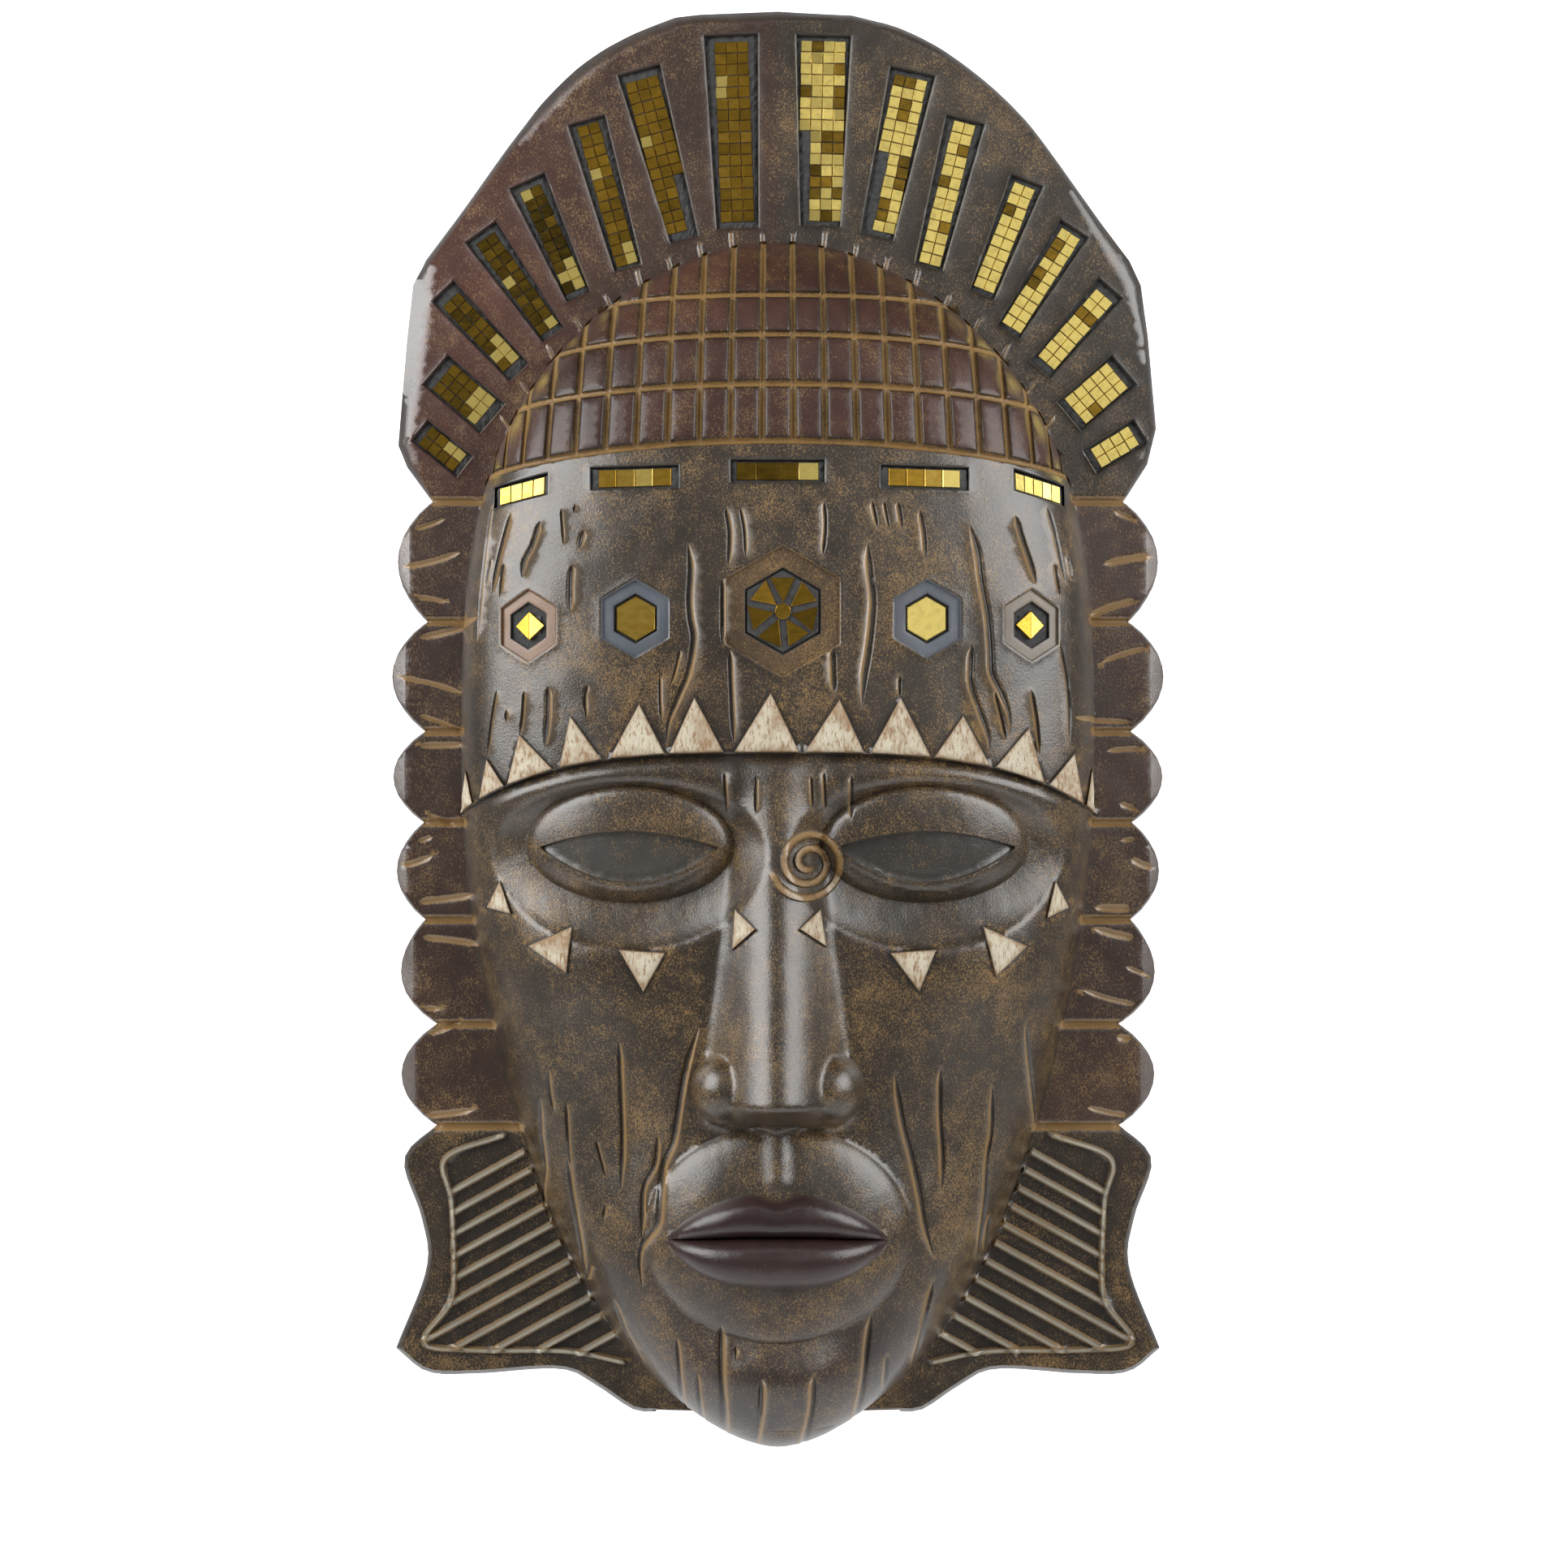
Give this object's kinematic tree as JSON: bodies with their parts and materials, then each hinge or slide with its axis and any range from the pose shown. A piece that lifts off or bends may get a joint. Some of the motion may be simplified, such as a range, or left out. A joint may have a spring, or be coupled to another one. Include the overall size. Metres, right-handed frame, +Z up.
{
  "type": "resin wall mask",
  "caption": "Tall dark resin wall mask with a fan-shaped crest, gold mirror mosaic strips, lobed sides and ribbed fins, hollow at the back.",
  "frame": {"origin": "on the flat back of the crest, in the middle of its width, where the mask hangs on the wall", "axes": "+Z up the wall along the height, +Y into the wall, so the face looks along -Y, +X to the right as seen from the front"},
  "size_m": [0.278, 0.09, 0.5105],
  "materials": {
    "painted_resin": "dark brown paint rubbed with tan and bronze, under satin lacquer",
    "gold_mirror": "amber and gold mirror tiles in dark grout"
  },
  "bodies": {
    "root": {"mask_casting": "painted_resin", "crest_mosaic_left_1": "gold_mirror", "crest_mosaic_left_2": "gold_mirror", "crest_mosaic_left_3": "gold_mirror", "crest_mosaic_left_4": "gold_mirror", "crest_mosaic_left_5": "gold_mirror", "crest_mosaic_left_6": "gold_mirror", "crest_mosaic_left_7": "gold_mirror", "crest_mosaic_left_8": "gold_mirror", "crest_mosaic_right_1": "gold_mirror", "crest_mosaic_right_2": "gold_mirror", "crest_mosaic_right_3": "gold_mirror", "crest_mosaic_right_4": "gold_mirror", "crest_mosaic_right_5": "gold_mirror", "crest_mosaic_right_6": "gold_mirror", "crest_mosaic_right_7": "gold_mirror", "crest_mosaic_right_8": "gold_mirror", "band_mosaic_1": "gold_mirror", "band_mosaic_2": "gold_mirror", "band_mosaic_3": "gold_mirror", "band_mosaic_4": "gold_mirror", "band_mosaic_5": "gold_mirror", "rhombus_mirror_left": "gold_mirror", "hexagon_mirror_left": "gold_mirror", "rosette_mosaic": "gold_mirror", "hexagon_mirror_right": "gold_mirror", "rhombus_mirror_right": "gold_mirror"}
  },
  "joints": []
}
